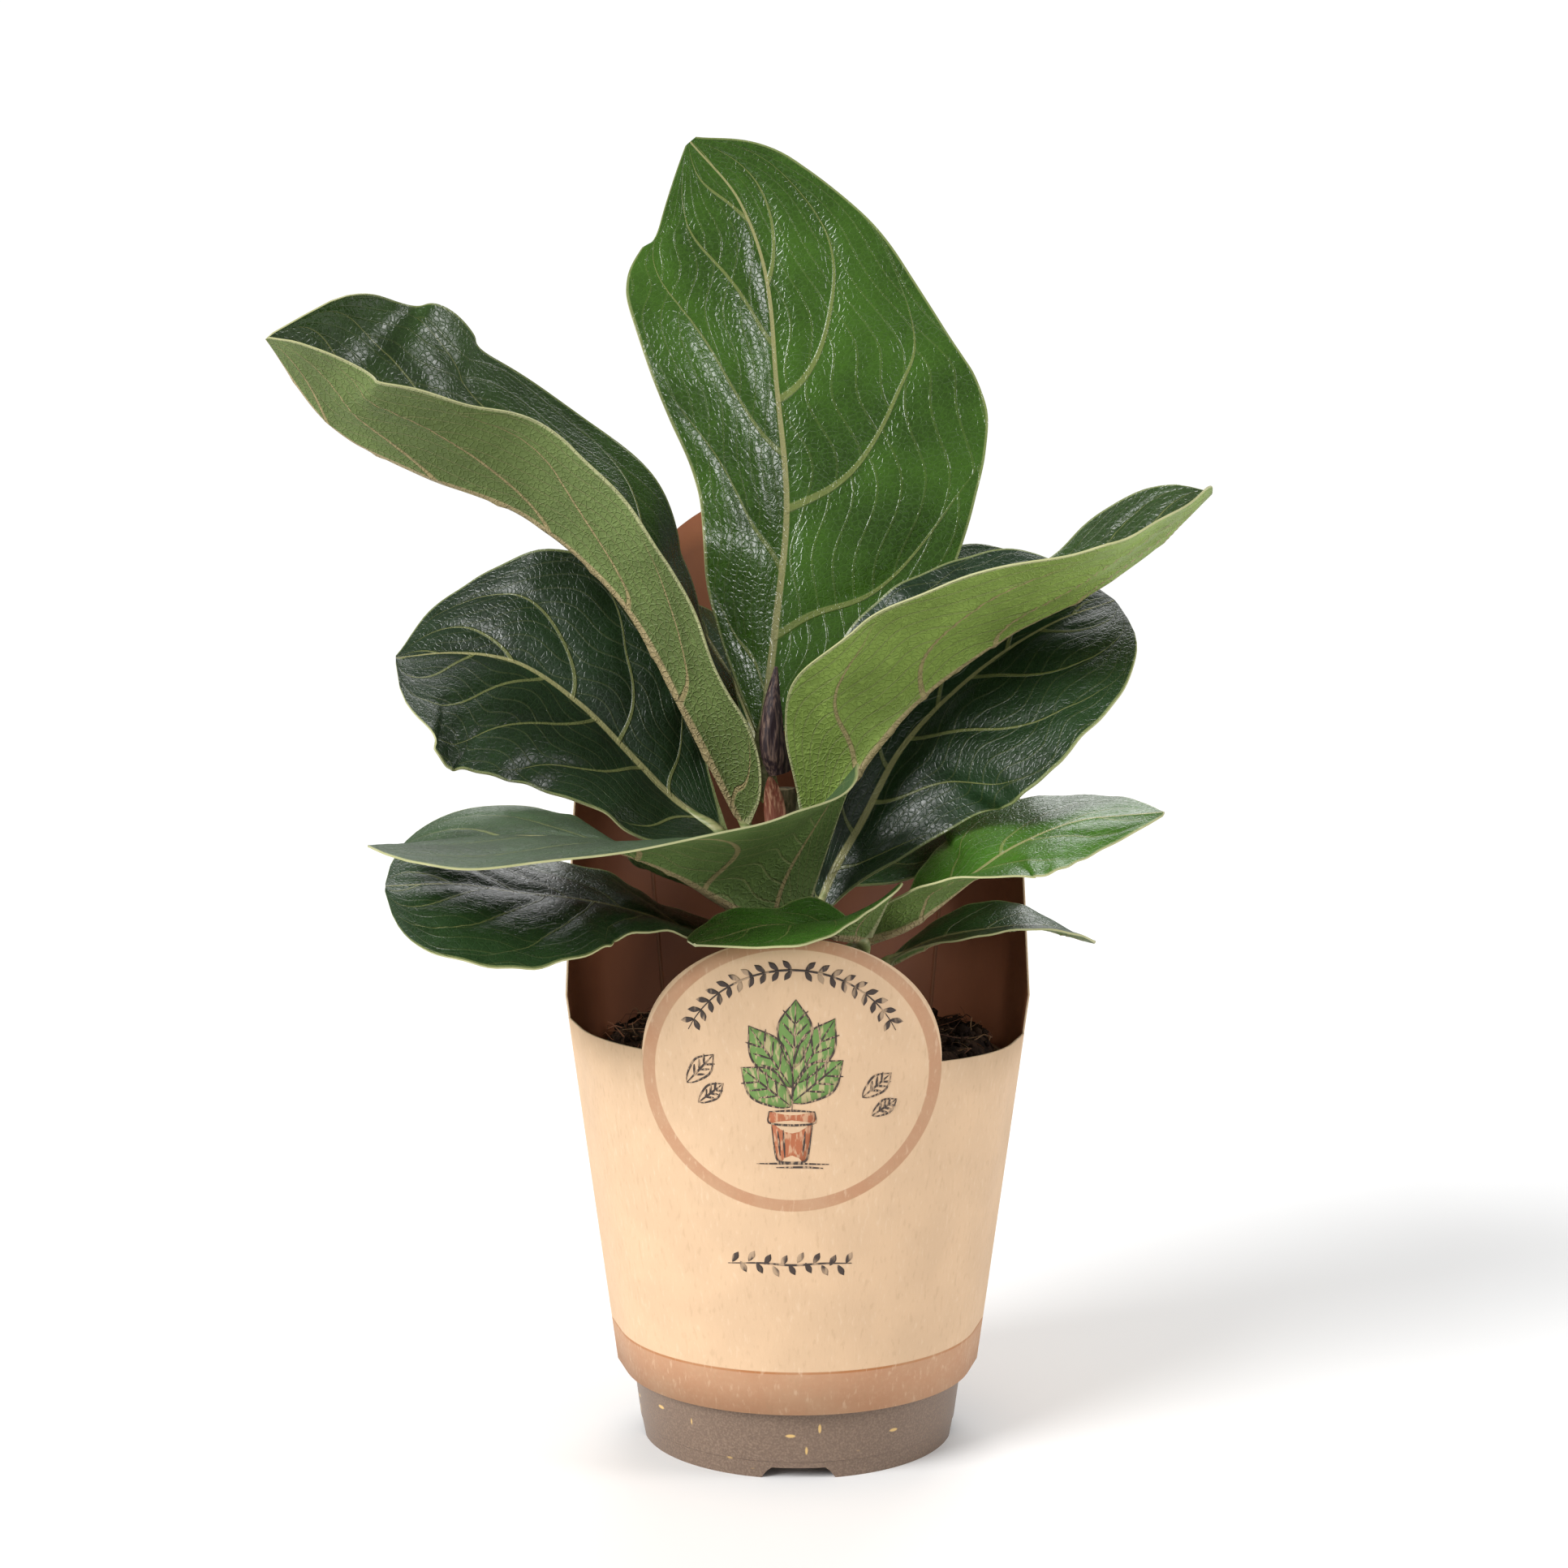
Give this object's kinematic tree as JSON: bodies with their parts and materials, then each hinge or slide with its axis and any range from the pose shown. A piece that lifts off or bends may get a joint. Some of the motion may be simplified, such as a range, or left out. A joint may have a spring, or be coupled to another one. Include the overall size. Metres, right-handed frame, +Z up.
{
  "type": "potted fiddle leaf fig",
  "caption": "Young fiddle leaf fig with glossy lyre-shaped leaves in a round nursery pot, wrapped in a creased kraft card sleeve with an arched back and a round front tab",
  "frame": {"origin": "on the floor at the axis of the pot, on the flat centre foot of its base", "axes": "+Z up along the pot axis, -Y towards the sleeve front with the round tab, +X to the right seen from the front"},
  "size_m": [0.2537, 0.1924, 0.3667],
  "materials": {
    "pot_taupe": "satin taupe recycled plastic with fine pale specks",
    "soil_peat": null,
    "sleeve_kraft": "uncoated tan kraft card, printed dark brown inside and along its lower band",
    "stem_bark": "rough grey-brown young bark",
    "bud_sheath": "dry papery dark purple-brown sheath",
    "leaf_green": "leathery glossy dark green above, matte light green below, pale veins",
    "stipule_brown": "dry papery reddish-brown scale"
  },
  "bodies": {
    "root": {"nursery_pot": "pot_taupe", "potting_soil": "soil_peat", "cardboard_sleeve": "sleeve_kraft", "main_stem": "stem_bark", "terminal_bud": "bud_sheath", "leaf_top": "leaf_green", "leaf_upper_left": "leaf_green", "leaf_left_middle": "leaf_green", "leaf_left_folded": "leaf_green", "leaf_lowest_left": "leaf_green", "leaf_right_middle": "leaf_green", "leaf_upper_right": "leaf_green", "leaf_front_curled": "leaf_green", "leaf_right_low": "leaf_green", "leaf_right_lowest": "leaf_green", "leaf_back_right": "leaf_green", "leaf_back_left": "leaf_green", "leaf_behind_right": "leaf_green", "stipule_low": "stipule_brown", "stipule_middle": "stipule_brown", "stipule_top": "stipule_brown"}
  },
  "joints": []
}
